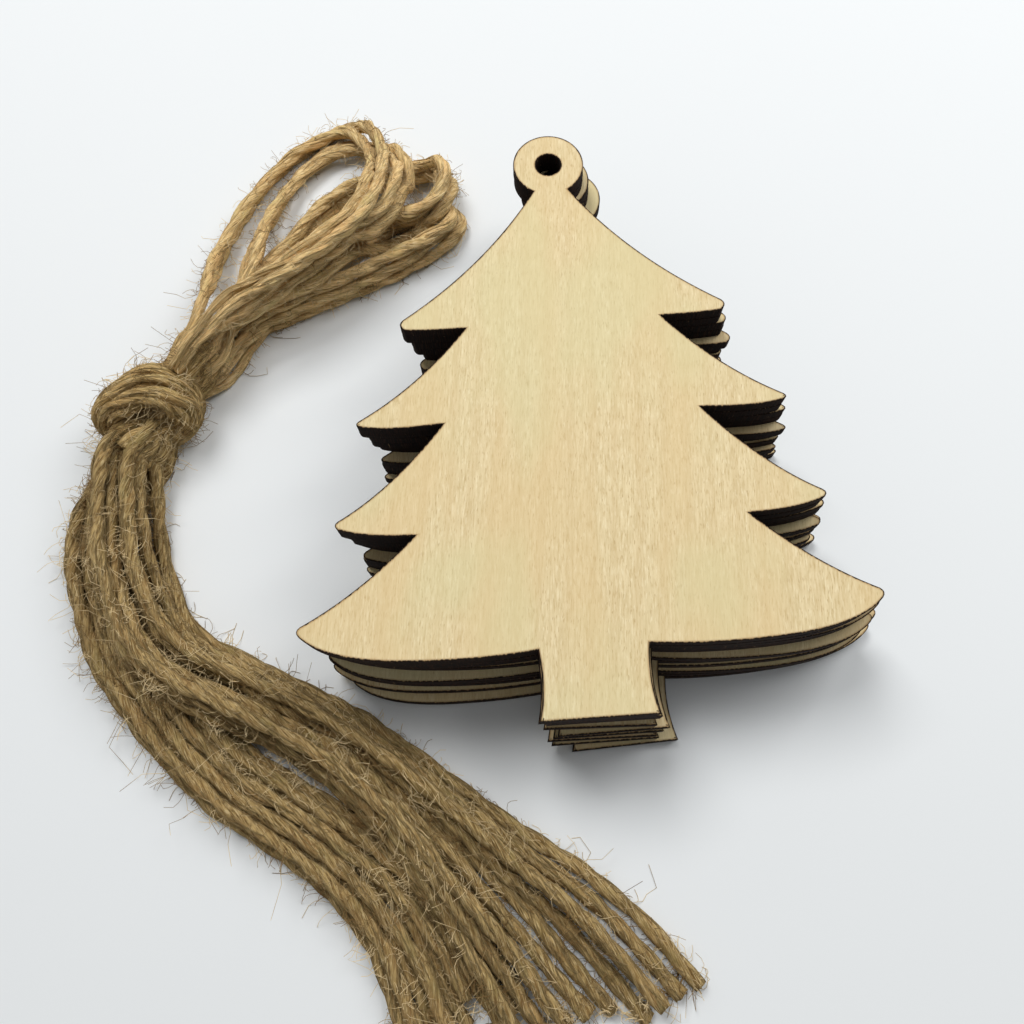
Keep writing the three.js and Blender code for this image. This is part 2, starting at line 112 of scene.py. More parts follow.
OUTER_ARCH_RAIL = [
    (-59.7, 30.4), (-59.6, 39.3), (-57.5, 45.1), (-54.2, 51.5), (-50.7, 56.4), (-46.1, 61.4),
    (-41.4, 64.7), (-37.4, 66.9), (-33.5, 65.8), (-30.1, 61.4), (-28.3, 55.5), (-28, 49.4),
    (-28.9, 43.1), (-30.8, 38.4), (-33.9, 34.6), (-38.2, 31.5), (-42.6, 28.3), (-47.4, 25.7),
    (-51.7, 23.8),
]

# Each loop: its rail, the lanes in which it leaves and enters the neck, and how many lanes inside
# its rail it runs on the way out, at its tip and on the way back
LOOPS = [
    (LOW_RAIL, 1, -2, 0, 0, 0),
    (LOW_RAIL, 0, -1.5, 0.9, 1, 0),
    (LOW_RAIL, 0.5, -1.5, 0.4, 0.5, 0.4),
    (MIDDLE_RAIL, 2, -0.5, 0, 0, 0),
    (MIDDLE_RAIL, 1.5, -2, 0.9, 0.8, 0.9),
    (MIDDLE_RAIL, 1, -1, 0.5, 0.4, 0.5),
    (INNER_ARCH_RAIL, 2, 0, 0, 0, 0),
    (INNER_ARCH_RAIL, 1.5, -0.5, 0.7, 1, 0.3),
    (OUTER_ARCH_RAIL, 2, -1, 0, 0, 0),
    (OUTER_ARCH_RAIL, 1.5, -0.5, 0.4, 1, 0.9),
]

# The middle of each tress of tails, and how far its lanes have spread there, in lanes
LEFT_TRESS = [
    (-76.2, -8.1, 1), (-76.4, -15.1, 1), (-74.8, -20.7, 1), (-71.5, -29.9, 1), (-66.6, -36.3, 1),
    (-61.1, -43.2, 1), (-53.7, -50.4, 1), (-43.3, -57.5, 1), (-35.7, -63.2, 1.1), (-29.2, -70, 1.3),
    (-25.2, -76, 1.5), (-22, -82.3, 1.7), (-19.5, -86.7, 1.8),
]
RIGHT_TRESS = [
    (-71.4, -9.6, 1), (-70.6, -16.2, 1), (-69, -21.2, 1), (-65, -29.3, 1), (-60, -33.6, 1),
    (-53, -37.5, 1), (-45.9, -41.4, 1), (-36.7, -47, 1.05), (-23.9, -58.2, 1.3), (-15.6, -66.8, 1.7),
    (-10.2, -72.6, 2.1), (-4.5, -79.5, 2.4), (3.4, -89, 2.4),
]

# Each tail: its tress, its lane and how much shorter its last bit is
TAILS = [
    (LEFT_TRESS, -2, 3), (LEFT_TRESS, -1, 0), (LEFT_TRESS, 0, 2), (LEFT_TRESS, 1, 4),
    (LEFT_TRESS, 2, 0), (LEFT_TRESS, -1.5, 0), (LEFT_TRESS, -0.5, 5), (LEFT_TRESS, 0.5, 1),
    (LEFT_TRESS, 1.5, 2), (RIGHT_TRESS, -2, 0), (RIGHT_TRESS, -1, 3), (RIGHT_TRESS, 0, 6),
    (RIGHT_TRESS, 1, 9), (RIGHT_TRESS, 2, 10), (RIGHT_TRESS, -1.5, 1), (RIGHT_TRESS, -0.5, 2),
    (RIGHT_TRESS, 0.5, 8), (RIGHT_TRESS, 1.5, 9), (RIGHT_TRESS, -1, 2), (RIGHT_TRESS, 1, 10),
]


def direction(degrees):
    return np.array([math.cos(math.radians(degrees)), math.sin(math.radians(degrees))])


def smoothstep(value, low, high):
    share = np.clip((value - low) / (high - low), 0, 1)
    return share * share * (3 - 2 * share)


def curve_points(points, shares):
    """Points on a centripetal Catmull-Rom curve, each point of which is an equal share of the way."""
    points = np.asarray(points, float)
    points = np.vstack([2 * points[0] - points[1], points, 2 * points[-1] - points[-2]])
    place = np.asarray(shares) * (len(points) - 3)
    first = np.minimum(place.astype(int), len(points) - 4)
    t = (place - first)[:, None]
    p0, p1, p2, p3 = (points[first + i] for i in range(4))
    d0, d1, d2 = (np.sqrt(np.linalg.norm(b - a, axis=1))[:, None]
                  for a, b in ((p0, p1), (p1, p2), (p2, p3)))
    start = ((p1 - p0) / d0 - (p2 - p0) / (d0 + d1) + (p2 - p1) / d1) * d1
    end = ((p2 - p1) / d1 - (p3 - p1) / (d1 + d2) + (p3 - p2) / d2) * d1
    return (p1 + start * t + (-3 * p1 + 3 * p2 - 2 * start - end) * t ** 2
            + (2 * p1 - 2 * p2 + start + end) * t ** 3)


def beside(rail, i, distance):
    """A rail's point moved to the right of the way the rail runs there."""
    along = np.subtract(rail[min(i + 1, len(rail) - 1)][:2], rail[max(i - 1, 0)][:2])
    along = along / np.linalg.norm(along)
    return np.array(rail[i][:2]) + np.array([along[1], -along[0]]) * distance


NECK_ALONG = direction(NECK_ANGLE)
NECK_LEFT = direction(NECK_ANGLE + 90)
NECK_FACE = KNOT_CENTRE + NECK_ALONG * (NECK_REACH + KNOT_GAP)
EXIT_ALONG = direction(EXIT_ANGLE)
EXIT_FACE = KNOT_CENTRE + EXIT_ALONG * (EXIT_REACH + KNOT_GAP)


def loop_stations(rail, leave, enter, out, tip, back):
    """The stations of a folded loop, as [x, y, radius]."""
    middle = []
    for i in range(len(rail)):
        share = i / (len(rail) - 1)
        inside = (out + (tip - out) * smoothstep(share, 0.25, 0.5)
                  + (back - tip) * smoothstep(share, 0.5, 0.75))
        middle.append(beside(rail, i, inside * LANE))
    ends = {}
    for lane in (leave, enter):
        face = NECK_FACE + NECK_LEFT * lane * NECK_LANE
        ends[lane] = [face, face + NECK_ALONG * STRAIGHT_RUN]
    plan = [*ends[leave], *middle, *reversed(ends[enter])]
    points = curve_points(plan, np.linspace(0, 1, LOOP_STEPS + 1))
    away = np.linalg.norm(points - NECK_FACE, axis=1)
    swell = smoothstep(away, NECK_LANE * 2, TAPER_LENGTH)
    radii = (SQUEEZED_DIAMETER + (STRING_DIAMETER - SQUEEZED_DIAMETER) * swell) / 2
    return np.column_stack([points, radii])


def tail_stations(tress, lane, cut):
    """The stations of a tail, as [x, y, radius]."""
    middle = [(*EXIT_FACE, 1), (*(EXIT_FACE + EXIT_ALONG * STRAIGHT_RUN), 1), *tress]
    plan = np.array([beside(middle, i, lane * station[2] * LANE) for i, station in enumerate(middle)])
    last = plan[-1] - plan[-2]
    plan[-1] -= last * cut / np.linalg.norm(last)
    return np.column_stack([plan, np.full(len(plan), STRING_DIAMETER / 2)])


laid = np.empty((0, 4))


def lay(stations):
    """Lays a string on the table and on the strings laid already. Returns [x, y, z, radius] stations."""
    global laid
    samples = []
    for i, (a, b) in enumerate(zip(stations, stations[1:])):
        steps = math.ceil(np.linalg.norm(b[:2] - a[:2]) / SAMPLE_STEP)
        for j in range(1 if i else 0, steps + 1):
            samples.append([*(a + (b - a) * j / steps), i + j / steps])
    samples = np.array(samples)
    heights = samples[:, 2] + FLOOR_GAP
    for i, (x, y, radius, _) in enumerate(samples):
        reach = radius + laid[:, 3] + CROSSING_GAP
        room = reach ** 2 - (laid[:, 0] - x) ** 2 - (laid[:, 1] - y) ** 2
        over = laid[:, 2] + np.sqrt(np.maximum(room, 0))
        heights[i] = max(heights[i], over[room > 0].max(initial=0))
    runs = np.linalg.norm(np.diff(samples[:, :2], axis=0), axis=1) * LARGEST_SLOPE
    for i, run in enumerate(runs):
        heights[i + 1] = max(heights[i + 1], heights[i] - run)
    for i in reversed(range(len(runs))):
        heights[i] = max(heights[i], heights[i + 1] - runs[i])
    places = samples[:, 3]
    raised = np.array([heights[np.abs(places - i) <= 0.5].max() for i in range(len(stations))])
    raised[:2] = raised[:2].max()
    raised[-2:] = raised[-2:].max()
    heights = np.interp(places, np.arange(len(stations)), raised)
    laid = np.vstack([laid, np.column_stack([samples[:, :2], heights, samples[:, 2]])])
    return np.column_stack([stations[:, :2], raised, stations[:, 2]])


# Jute twine: two plies, each a soft twist of coarse fibres, laid round each other

PLY_PITCH = 11
PLY_REACH = 0.25
PLY_WIDTH = 0.77
PLY_SIDES = 14
TWINE_FULLNESS = 1.06
TWINE_STEP = 0.52
FIBRE_RELIEF = 0.17
RELIEF_LIMITS = (0.6, 1.4)
COARSE_SHARE = 0.6
FINE_SHARE = 0.4
PITCH_SPREAD = (0.8, 1.25)
TWIST_DRIFT = 1.1
PLY_SWELL = 0.09
LOOSE_FIBRES = 6
LOOSE_FIBRE_RADIUS = 0.11
LOOSE_FIBRE_SPREAD = (0.6, 1.3)
LOOSE_FIBRE_SIDES = 4
LOOSE_FIBRE_SLIP = 0.9
LOOSE_FIBRE_LIFT = 0.07
WANDER = 0.11
WANDER_LENGTH = 9
STILL_ENDS = (2, 12)
DIVE = 4.5
DIVE_NARROWING = 0.7
DIVE_LEVELLING = 0.65
TABLE_CLEARANCE = 0.01
LONGEST_UV_SHIFT = 500

# Over how many points along a string each of its uneven ways changes
COARSE_GRAIN = 14
FINE_GRAIN = 4
TWIST_GRAIN = 40
SWELL_GRAIN = 16
SLIP_GRAIN = 30
LIFT_GRAIN = 12
STRAND_GRAIN = 20
DEPTH_GRAIN = 16


def arc_lengths(points):
    return np.concatenate([[0], np.cumsum(np.linalg.norm(np.diff(points, axis=0), axis=1))])


def evenly(stations, step):
    """A smooth path through the stations, [x, y, z, radius], with points about one step apart."""
    fine = curve_points(stations, np.linspace(0, 1, len(stations) * 12))
    along = arc_lengths(fine[:, :3])
    places = np.linspace(0, along[-1], max(int(along[-1] / step), 8))
    return np.column_stack([np.interp(places, along, fine[:, k]) for k in range(fine.shape[1])]), places


def path_frames(points):
    """Unit vectors along, beside and above a path, carried along it without a twist."""
    along = np.gradient(points, axis=0)
    along /= np.linalg.norm(along, axis=1)[:, None]
    side = np.cross(along[0], (0, 0, 1))
    sides = []
    for tangent in along:
        side = side - tangent * side.dot(tangent)
        side = side / np.linalg.norm(side)
        sides.append(side)
    sides = np.array(sides)
    return along, sides, np.cross(sides, along)


def soft_noise(random, rows, columns, grain):
    """Random values that change smoothly down each column, over about grain rows."""
    coarse = random.normal(size=(max(int(rows / grain), 2) + 2, columns))
    place = np.linspace(0, len(coarse) - 1.001, rows)
    low = place.astype(int)
    t = (place - low)[:, None]
    t = t * t * (3 - 2 * t)
    return coarse[low] * (1 - t) + coarse[low + 1] * t


def wandering(path, random):
    """The path of a real string: it strays a little from the line that it is laid on."""
    rows = len(path)
    stray = soft_noise(random, rows, 2, WANDER_LENGTH / TWINE_STEP) * WANDER
    ends = np.minimum(np.arange(rows), np.arange(rows)[::-1]) * TWINE_STEP
    stray *= smoothstep(ends, *STILL_ENDS)[:, None]
    _, side, above = path_frames(path[:, :3])
    moved = path.copy()
    moved[:, :3] += side * stray[:, :1] + above * stray[:, 1:]
    moved[:, 2] = np.maximum(moved[:, 2], path[:, 3] + TABLE_CLEARANCE)
    return moved


def ply_tube(centres, radii, sides, random):
    """Vertices, faces and UVs of one ply along its own path, open at its ends."""
    _, side, above = path_frames(centres)
    rings = len(centres)
    angles = np.linspace(0, 2 * math.pi, sides, endpoint=False)
    relief = 1 + FIBRE_RELIEF * (COARSE_SHARE * soft_noise(random, rings, sides, COARSE_GRAIN)
                                 + FINE_SHARE * soft_noise(random, rings, sides, FINE_GRAIN))
    reach = radii[:, None] * np.clip(relief, *RELIEF_LIMITS)
    vertices = (centres[:, None, :] + side[:, None, :] * (reach * np.cos(angles))[..., None]
                + above[:, None, :] * (reach * np.sin(angles))[..., None]).reshape(-1, 3)
    vertices[:, 2] = np.maximum(vertices[:, 2], TABLE_CLEARANCE)
    ring, spot = np.meshgrid(np.arange(rings - 1), np.arange(sides), indexing="ij")
    ring, spot = ring.ravel(), spot.ravel()
    a = ring * sides + spot
    b = ring * sides + (spot + 1) % sides
    quads = np.column_stack([a, a + sides, b + sides, b])
    along = arc_lengths(centres) + random.uniform(0, LONGEST_UV_SHIFT)
    left, right = spot / sides, (spot + 1) / sides
    low, high = along[ring], along[ring + 1]
    corners = ((left, low), (left, high), (right, high), (right, low))
    uvs = np.stack([np.column_stack(corner) for corner in corners], axis=1)
    return vertices, quads, uvs


def twine_parts(path, places, random):
    """The two plies of a string along a path of [x, y, z, radius]."""
    turns = soft_noise(random, len(path), 1, TWIST_GRAIN)[:, 0] * TWIST_DRIFT
    pitch = PLY_PITCH * random.uniform(*PITCH_SPREAD)
    angle = random.uniform(0, 2 * math.pi) - 2 * math.pi * places / pitch + turns
    _, side, above = path_frames(path[:, :3])
    radius = path[:, 3] * TWINE_FULLNESS
    swell = 1 + PLY_SWELL * soft_noise(random, len(path), 2, SWELL_GRAIN)
    parts = []
    for ply in range(2):
        turned = (angle + math.pi * ply)[:, None]
        swirl = side * np.cos(turned) + above * np.sin(turned)
        centres = path[:, :3] + swirl * (radius * PLY_REACH)[:, None]
        girth = radius * PLY_WIDTH * swell[:, ply]
        parts.append(ply_tube(centres, girth, PLY_SIDES, random))
        parts += [loose_fibre(centres, girth, random) for _ in range(LOOSE_FIBRES)]
    return parts


def loose_fibre(centres, girth, random):
    """A coarse fibre that lies on a ply and slips slowly round it."""
    rows = np.arange(0, len(centres), 2)
    _, side, above = path_frames(centres)
    start = random.uniform(0, 2 * math.pi)
    angle = start + soft_noise(random, len(centres), 1, SLIP_GRAIN)[:, 0] * LOOSE_FIBRE_SLIP
    lift = girth * (1 + LOOSE_FIBRE_LIFT * soft_noise(random, len(centres), 1, LIFT_GRAIN)[:, 0])
    line = centres + side * (np.cos(angle) * lift)[:, None] + above * (np.sin(angle) * lift)[:, None]
    radii = LOOSE_FIBRE_RADIUS * random.uniform(*LOOSE_FIBRE_SPREAD) * np.ones(len(rows))
    return ply_tube(line[rows], radii, LOOSE_FIBRE_SIDES, random)


def mesh_object(name, parts, finish):
    """One object of several (vertices in millimetres, quads, UVs) parts, its tube ends closed."""
    vertices, quads, uvs, count = [], [], [], 0
    for part_vertices, part_quads, part_uvs in parts:
        vertices.append(part_vertices)
        quads.append(part_quads + count)
        uvs.append(part_uvs)
        count += len(part_vertices)
    mesh = bpy.data.meshes.new(name)
    mesh.from_pydata((np.vstack(vertices) * MM).tolist(), [], np.vstack(quads).tolist())
    layer = mesh.uv_layers.new(name="along_fibre")
    layer.data.foreach_set("uv", np.vstack(uvs).astype(np.float32).ravel())
    closed = bmesh.new()
    closed.from_mesh(mesh)
    bmesh.ops.holes_fill(closed, edges=[edge for edge in closed.edges if edge.is_boundary], sides=0)
    closed.to_mesh(mesh)
    closed.free()
    mesh.materials.append(finish)
    mesh.shade_smooth()
    return link(bpy.data.objects.new(name, mesh))


def link(piece):
    bpy.context.scene.collection.objects.link(piece)
    return piece


def knot_place(u, w):
    """A place in the knot, u towards the neck and w to its left, as seen from above."""
    return np.array(KNOT_CENTRE) + NECK_ALONG * u + NECK_LEFT * w


def diving(stations, along, reach):
    """A string's stations with one more at the start, drawn in towards the middle of the knot."""
    first = stations[0]
    centre = KNOT_CENTRE + along * reach
    spread = first[:2] - centre
    inward = centre + spread * DIVE_NARROWING - along * DIVE
    height = KNOT_HEIGHT + (first[2] - KNOT_HEIGHT) * DIVE_LEVELLING
    return np.vstack([[*inward, height, first[3]], stations])


def lay_string(name, piece_name, stations, jute, random):
    """One stretch of string: its twine, what it replaces and how it lies."""
    path, places = evenly(stations, TWINE_STEP)
    path = wandering(path, random)
    piece = mesh_object(piece_name, twine_parts(path, places, random), jute)
    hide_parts(name)
    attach(piece, "strings")
    tuple(path[0, :3] * MM)
    (path[:, :3] * MM).tolist()
    return path


# The overhand knot, its middle this high above the table

KNOT_HEIGHT = 6

# The bundle of strings along its way, as u, w, height, half width, half height and wrapped: in from
# the neck, up at the far end, back over itself, under itself and out to the tails. Where it is
# wrapped, from 0 to 1, it lies flat against the middle of the knot.
KNOT_WAY = [
    (12.5, 0, 5.6, 2.8, 3.8, 0), (10.5, 0, 6, 3.4, 4.5, 0), (8, 0, 6, 3.6, 4.6, 0),
    (3, 0.4, 5, 3.4, 3.8, 0), (-2, 1.8, 4.6, 3.2, 3.4, 0.4), (-5.4, 3.2, 4.7, 3, 3.2, 1),
    (-5.2, 4.3, 7, 2.9, 3.1, 1), (-1.8, 3.4, 8.8, 4.2, 2.8, 1), (1.6, 1.4, 9.7, 4.9, 2.7, 1),
    (3.4, -1.2, 9, 4.6, 2.7, 1), (3.4, -3.5, 6, 3.8, 2.8, 1), (0.6, -3.5, 3.4, 3, 2.8, 1),
    (-2.6, -2.1, 3.9, 3.4, 3.4, 0.5), (-5.5, -0.8, 4.9, 4.6, 4.2, 0), (-8.5, -0.6, 5, 4.9, 4.4, 0),
]
KNOT_STRANDS = 15
STRAND_RADIUS = 0.86
STRAND_SINK = 0.9
STRAND_TWIST = 0.015
STRAND_DRIFT = 0.28
STRAND_DEPTH = 0.09
CORE_SIDES = 20


def tie_knot(jute, random):
    """The bundle of strings through the knot: an outer layer of strands round a core."""
    way, places = evenly(np.array(KNOT_WAY, float), TWINE_STEP)
    points = np.array([[*knot_place(row[0], row[1]), row[2]] for row in way])
    wrapped = np.clip(way[:, 5:], 0, 1)
    inward = np.array([*KNOT_CENTRE, KNOT_HEIGHT]) - points
    reach = np.linalg.norm(inward, axis=1)[:, None]
    above = (1 - wrapped) * np.array([0, 0, 1]) + wrapped * inward / reach
    along, _, _ = path_frames(points)
    above -= along * (above * along).sum(axis=1)[:, None]
    above /= np.linalg.norm(above, axis=1)[:, None]
    side = np.cross(along, above)
    parts = [ply_tube(points, np.minimum(way[:, 3], way[:, 4]) - STRAND_RADIUS, CORE_SIDES, random)]
    paths = []
    for strand in range(KNOT_STRANDS):
        angle = (2 * math.pi * strand / KNOT_STRANDS + places * STRAND_TWIST
                 + soft_noise(random, len(way), 1, STRAND_GRAIN)[:, 0] * STRAND_DRIFT)
        depth = 1 + soft_noise(random, len(way), 1, DEPTH_GRAIN)[:, 0] * STRAND_DEPTH
        across = np.cos(angle) * (way[:, 3] - STRAND_RADIUS * STRAND_SINK) * depth
        upward = np.sin(angle) * (way[:, 4] - STRAND_RADIUS * STRAND_SINK) * depth
        centres = points + side * across[:, None] + above * upward[:, None]
        centres[:, 2] = np.maximum(centres[:, 2], STRAND_RADIUS + TABLE_CLEARANCE)
        path = np.column_stack([centres, np.full(len(way), STRAND_RADIUS)])
        parts.extend(twine_parts(path, places, random))
        paths.append(path)
    knot = mesh_object("jute_knot", parts, jute)
    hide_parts("string_knot")
    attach(knot, "strings")
    return knot, paths


# Node graphs

class Wire:
    """An output socket, with arithmetic that adds Math nodes."""

    def __init__(self, graph, socket):
        self.graph = graph
        self.socket = socket

    def math(self, operation, *values):
        inputs = dict(enumerate((self, *values)))
        return self.graph.node("ShaderNodeMath", {"operation": operation}, inputs)

    def __add__(self, other):
        return self.math("ADD", other)

    def __rsub__(self, other):
        return (self * -1) + other

    def __mul__(self, other):
        return self.math("MULTIPLY", other)

    def between(self, low, high):
        """0 below low, 1 above high and a smooth step between them."""
        return self.graph.node("ShaderNodeMapRange", {"interpolation_type": "SMOOTHSTEP", "clamp": True},
                               {"Value": self, "From Min": low, "From Max": high})


class Graph:
    """A node tree that is filled by one method."""

    def __init__(self, tree):
        self.tree = tree

    def node(self, kind, settings=None, sockets=None, output=0):
        """Adds a node: its settings first, then its sockets' values or links. Returns one output."""
        made = self.tree.nodes.new(kind)
        for key, value in (settings or {}).items():
            setattr(made, key, value)
        enabled = [socket for socket in made.inputs if socket.enabled]
        for key, value in (sockets or {}).items():
            socket = enabled[key] if isinstance(key, int) else next(s for s in enabled if s.name == key)
            self.join(value, socket)
        outputs = [socket for socket in made.outputs if socket.enabled]
        return Wire(self, outputs[output])

    def join(self, value, socket):
        if isinstance(value, Wire):
            self.tree.links.new(value.socket, socket)
        else:
            socket.default_value = value

    def noise(self, place, scale=1.0, detail=2.0, roughness=0.5, output=0):
        return self.node("ShaderNodeTexNoise", {}, {
            "Vector": place, "Scale": scale, "Detail": detail, "Roughness": roughness}, output)

    def vector(self, operation, *values):
        return self.node("ShaderNodeVectorMath", {"operation": operation}, dict(enumerate(values)))

    def parts(self, vector):
        """The three numbers of a vector."""
        split = self.node("ShaderNodeSeparateXYZ", {}, {"Vector": vector}).socket.node
        return [Wire(self, socket) for socket in split.outputs]


class Finish(Graph):
    """A material under way: its node tree and its surface shader."""

    def __init__(self, name):
        self.material = bpy.data.materials.new(name)
        self.material.use_nodes = True
        super().__init__(self.material.node_tree)
        self.surface = self.tree.nodes["Principled BSDF"]

    def uv(self):
        return self.node("ShaderNodeTexCoord", output=2)

    def stretched(self, place, scale, offset=(0, 0, 0)):
        return self.node("ShaderNodeMapping", {}, {"Vector": place, "Scale": scale, "Location": offset})

    def mix(self, factor, a, b):
        return self.node("ShaderNodeMix", {"data_type": "RGBA"}, {"Factor": factor, "A": a, "B": b})

    def attribute(self, name):
        return self.node("ShaderNodeAttribute", {"attribute_name": name}, output=2)

    def bump(self, height, strength, distance):
        normal = self.node("ShaderNodeBump", {}, {
            "Height": height, "Strength": strength, "Distance": distance})
        self.join(normal, self.surface.inputs["Normal"])

    def surface_is(self, **values):
        for name, value in values.items():
            self.join(value, self.surface.inputs[name.replace("_", " ")])


def tone(red, green, blue):
    """A colour as it is seen, from 0 to 255, as the shader's linear values."""
    seen = [value / 255 for value in (red, green, blue)]
    return (*[v / 12.92 if v <= 0.04045 else ((v + 0.055) / 1.055) ** 2.4 for v in seen], 1.0)


# Jute as it is seen: dark, tan, straw, shade, ochre and olive. The shade tint is painted shade for the
# gaps between fibres
JUTE_TINTS = [
    (134, 104, 57), (218, 186, 124), (246, 222, 168), (62, 42, 18), (182, 138, 82), (150, 140, 84),
]
NEAR_WHITE = 250


def jute_finish(name, level, painted_paleness, relief):
    """Coarse tan fibres: pale and dark streaks along each ply, in broad tints.

    A higher level is paler: a high level paints light and a low level paints shade onto copies of one
    jute. The share of near-white in every tint is painted light too.
    """
    finish = Finish(name)
    place = finish.uv()
    across, along, _ = finish.parts(place)
    slant = finish.node("ShaderNodeCombineXYZ", {}, {0: across + along * 0.045, 1: along, 2: 0.0})
    streaks = finish.noise(finish.stretched(slant, (12, 0.25, 1)), detail=4, roughness=0.62)
    fibres = finish.noise(finish.stretched(slant, (34, 0.6, 1)), detail=3, roughness=0.6)
    patches = finish.noise(finish.stretched(place, (1.2, 0.1, 1)), detail=2)
    tints = finish.noise(finish.stretched(place, (2.1, 0.17, 1), (7, 3, 0)), detail=1)
    tints_seen = []
    for colour in JUTE_TINTS:
        rise = min(level, NEAR_WHITE / max(colour))
        tints_seen.append(tone(*(value * rise * (1 - painted_paleness) + NEAR_WHITE * painted_paleness for value in colour)))
    dark, tan, straw, shade, ochre, olive = tints_seen
    colour = finish.mix(streaks.between(0.34, 0.66), dark, tan)
    colour = finish.mix(fibres.between(0.52, 0.66) * 0.8, colour, straw)
    # Painted shade in the dark gaps between fibres
    colour = finish.mix((1 - fibres.between(0.34, 0.48)) * 0.75, colour, shade)
    colour = finish.mix(patches.between(0.45, 0.7) * 0.35, colour, ochre)
    colour = finish.mix(tints.between(0.52, 0.72) * 0.3, colour, olive)
    finish.surface_is(Base_Color=colour, Roughness=0.85, Specular_IOR_Level=0.15, Sheen_Weight=0.3,
                      Sheen_Roughness=0.6, Sheen_Tint=tone(226, 200, 150))
    finish.bump(streaks + fibres * 0.8, relief, 0.0005)
    return finish.material


def stray_fibre_finish():
    """Single fibres that stand off the twine, paler than it."""
    finish = Finish("stray_fibre")
    place = finish.node("ShaderNodeTexCoord", output=3)
    shade = finish.noise(place, scale=160, detail=1)
    colour = finish.mix(shade.between(0.36, 0.64), tone(128, 100, 58), tone(236, 212, 164))
    finish.surface_is(Base_Color=colour, Roughness=0.7, Specular_IOR_Level=0.3)
    return finish.material


def plywood_finish():
    """Pale veneer with short flecks, and edges charred by the laser. UVs are in centimetres."""
    finish = Finish("plywood")
    place = finish.uv()
    grain = finish.noise(finish.stretched(place, (30, 2.4, 1)), detail=5, roughness=0.62)
    flecks = finish.noise(finish.stretched(place, (46, 6, 1), (3, 8, 0)), detail=2, roughness=0.5)
    pores = finish.noise(finish.stretched(place, (52, 8, 1), (11, 2, 0)), detail=1, roughness=0.5)
    broad = finish.noise(finish.stretched(place, (1.1, 0.22, 1)), detail=2)
    tints = finish.noise(finish.stretched(place, (0.55, 0.3, 1), (5, 9, 0)), detail=2)
    figure = finish.node("ShaderNodeTexWave", {"wave_type": "RINGS", "rings_direction": "SPHERICAL"},
                         {"Vector": finish.stretched(place, (0.62, 0.1, 1)), "Scale": 1.5,
                          "Distortion": 2.2, "Detail": 2.0, "Detail Scale": 1.4}, output=1)
    wood = finish.mix(grain.between(0.28, 0.72), tone(214, 193, 147), tone(235, 216, 173))
    wood = finish.mix(flecks.between(0.56, 0.68) * 0.55, wood, tone(194, 167, 116))
    wood = finish.mix((1 - flecks.between(0.32, 0.44)) * 0.6, wood, tone(245, 230, 192))
    wood = finish.mix(pores.between(0.64, 0.72) * 0.5, wood, tone(166, 134, 84))
    wood = finish.mix(figure.between(0.55, 1) * 0.22, wood, tone(205, 178, 128))
    wood = finish.mix(broad.between(0.4, 0.65) * 0.5, wood, tone(222, 196, 146))
    wood = finish.mix(tints.between(0.45, 0.65) * 0.45, wood, tone(218, 210, 162))
    char = finish.attribute("char")
    soot = finish.noise(finish.stretched(place, (60, 2.5, 1)), detail=3)
    burnt = finish.mix(soot.between(0.4, 0.75), tone(9, 4, 2), tone(46, 25, 14))
    scorched = finish.mix(char.between(0.02, 0.75) * 0.55, wood, tone(150, 104, 58))
    ragged = char * (grain * 1.7 + 0.15)
    colour = finish.mix(ragged.between(0.45, 0.8), scorched, burnt)
    finish.surface_is(Base_Color=colour, Roughness=char * 0.35 + 0.6, Specular_IOR_Level=0.15)
    finish.bump(grain * 0.6 + flecks * -0.5 + soot * char, 0.3, 0.00015)
    return finish.material


# Stray fibres, which stand off a skin in curls

HAIR_POINTS = 5
HAIR_SIDES = 3
HAIR_SEED = 5
LENGTH_SEED = 3
SHORTEST_HAIR = 0.25
HAIR_KNEE = 0.6
HAIR_TIP = 0.7
HAIR_TAPER = 0.7
SWIRL_SCALE = 300.0

# Lengths and thicknesses of hairs are in metres, and their numbers are for each square metre
SHORT_HAIRS = {"density": 700000, "thickness": 0.00008, "spread": 1.7, "curl": 0.6}
LONG_HAIRS = {"density": 14000, "thickness": 0.00008, "spread": 1.8, "curl": 0.7}
FRAYED_HAIRS = {"density": 11000000, "thickness": 0.00016, "spread": 0.35, "curl": 0.25}
LOOP_HAIR = 0.0032
KNOT_HAIR = 0.0038
TAIL_HAIR = 0.0042
FRAYED_HAIR = 0.0045
LONG_HAIR_SHARE = 2.5
SKIN_FULLNESS = 1.1
SKIN_SIDES = 6
SKIN_SEED = 2
DISC_SIDES = 8
DISC_FULLNESS = 0.95


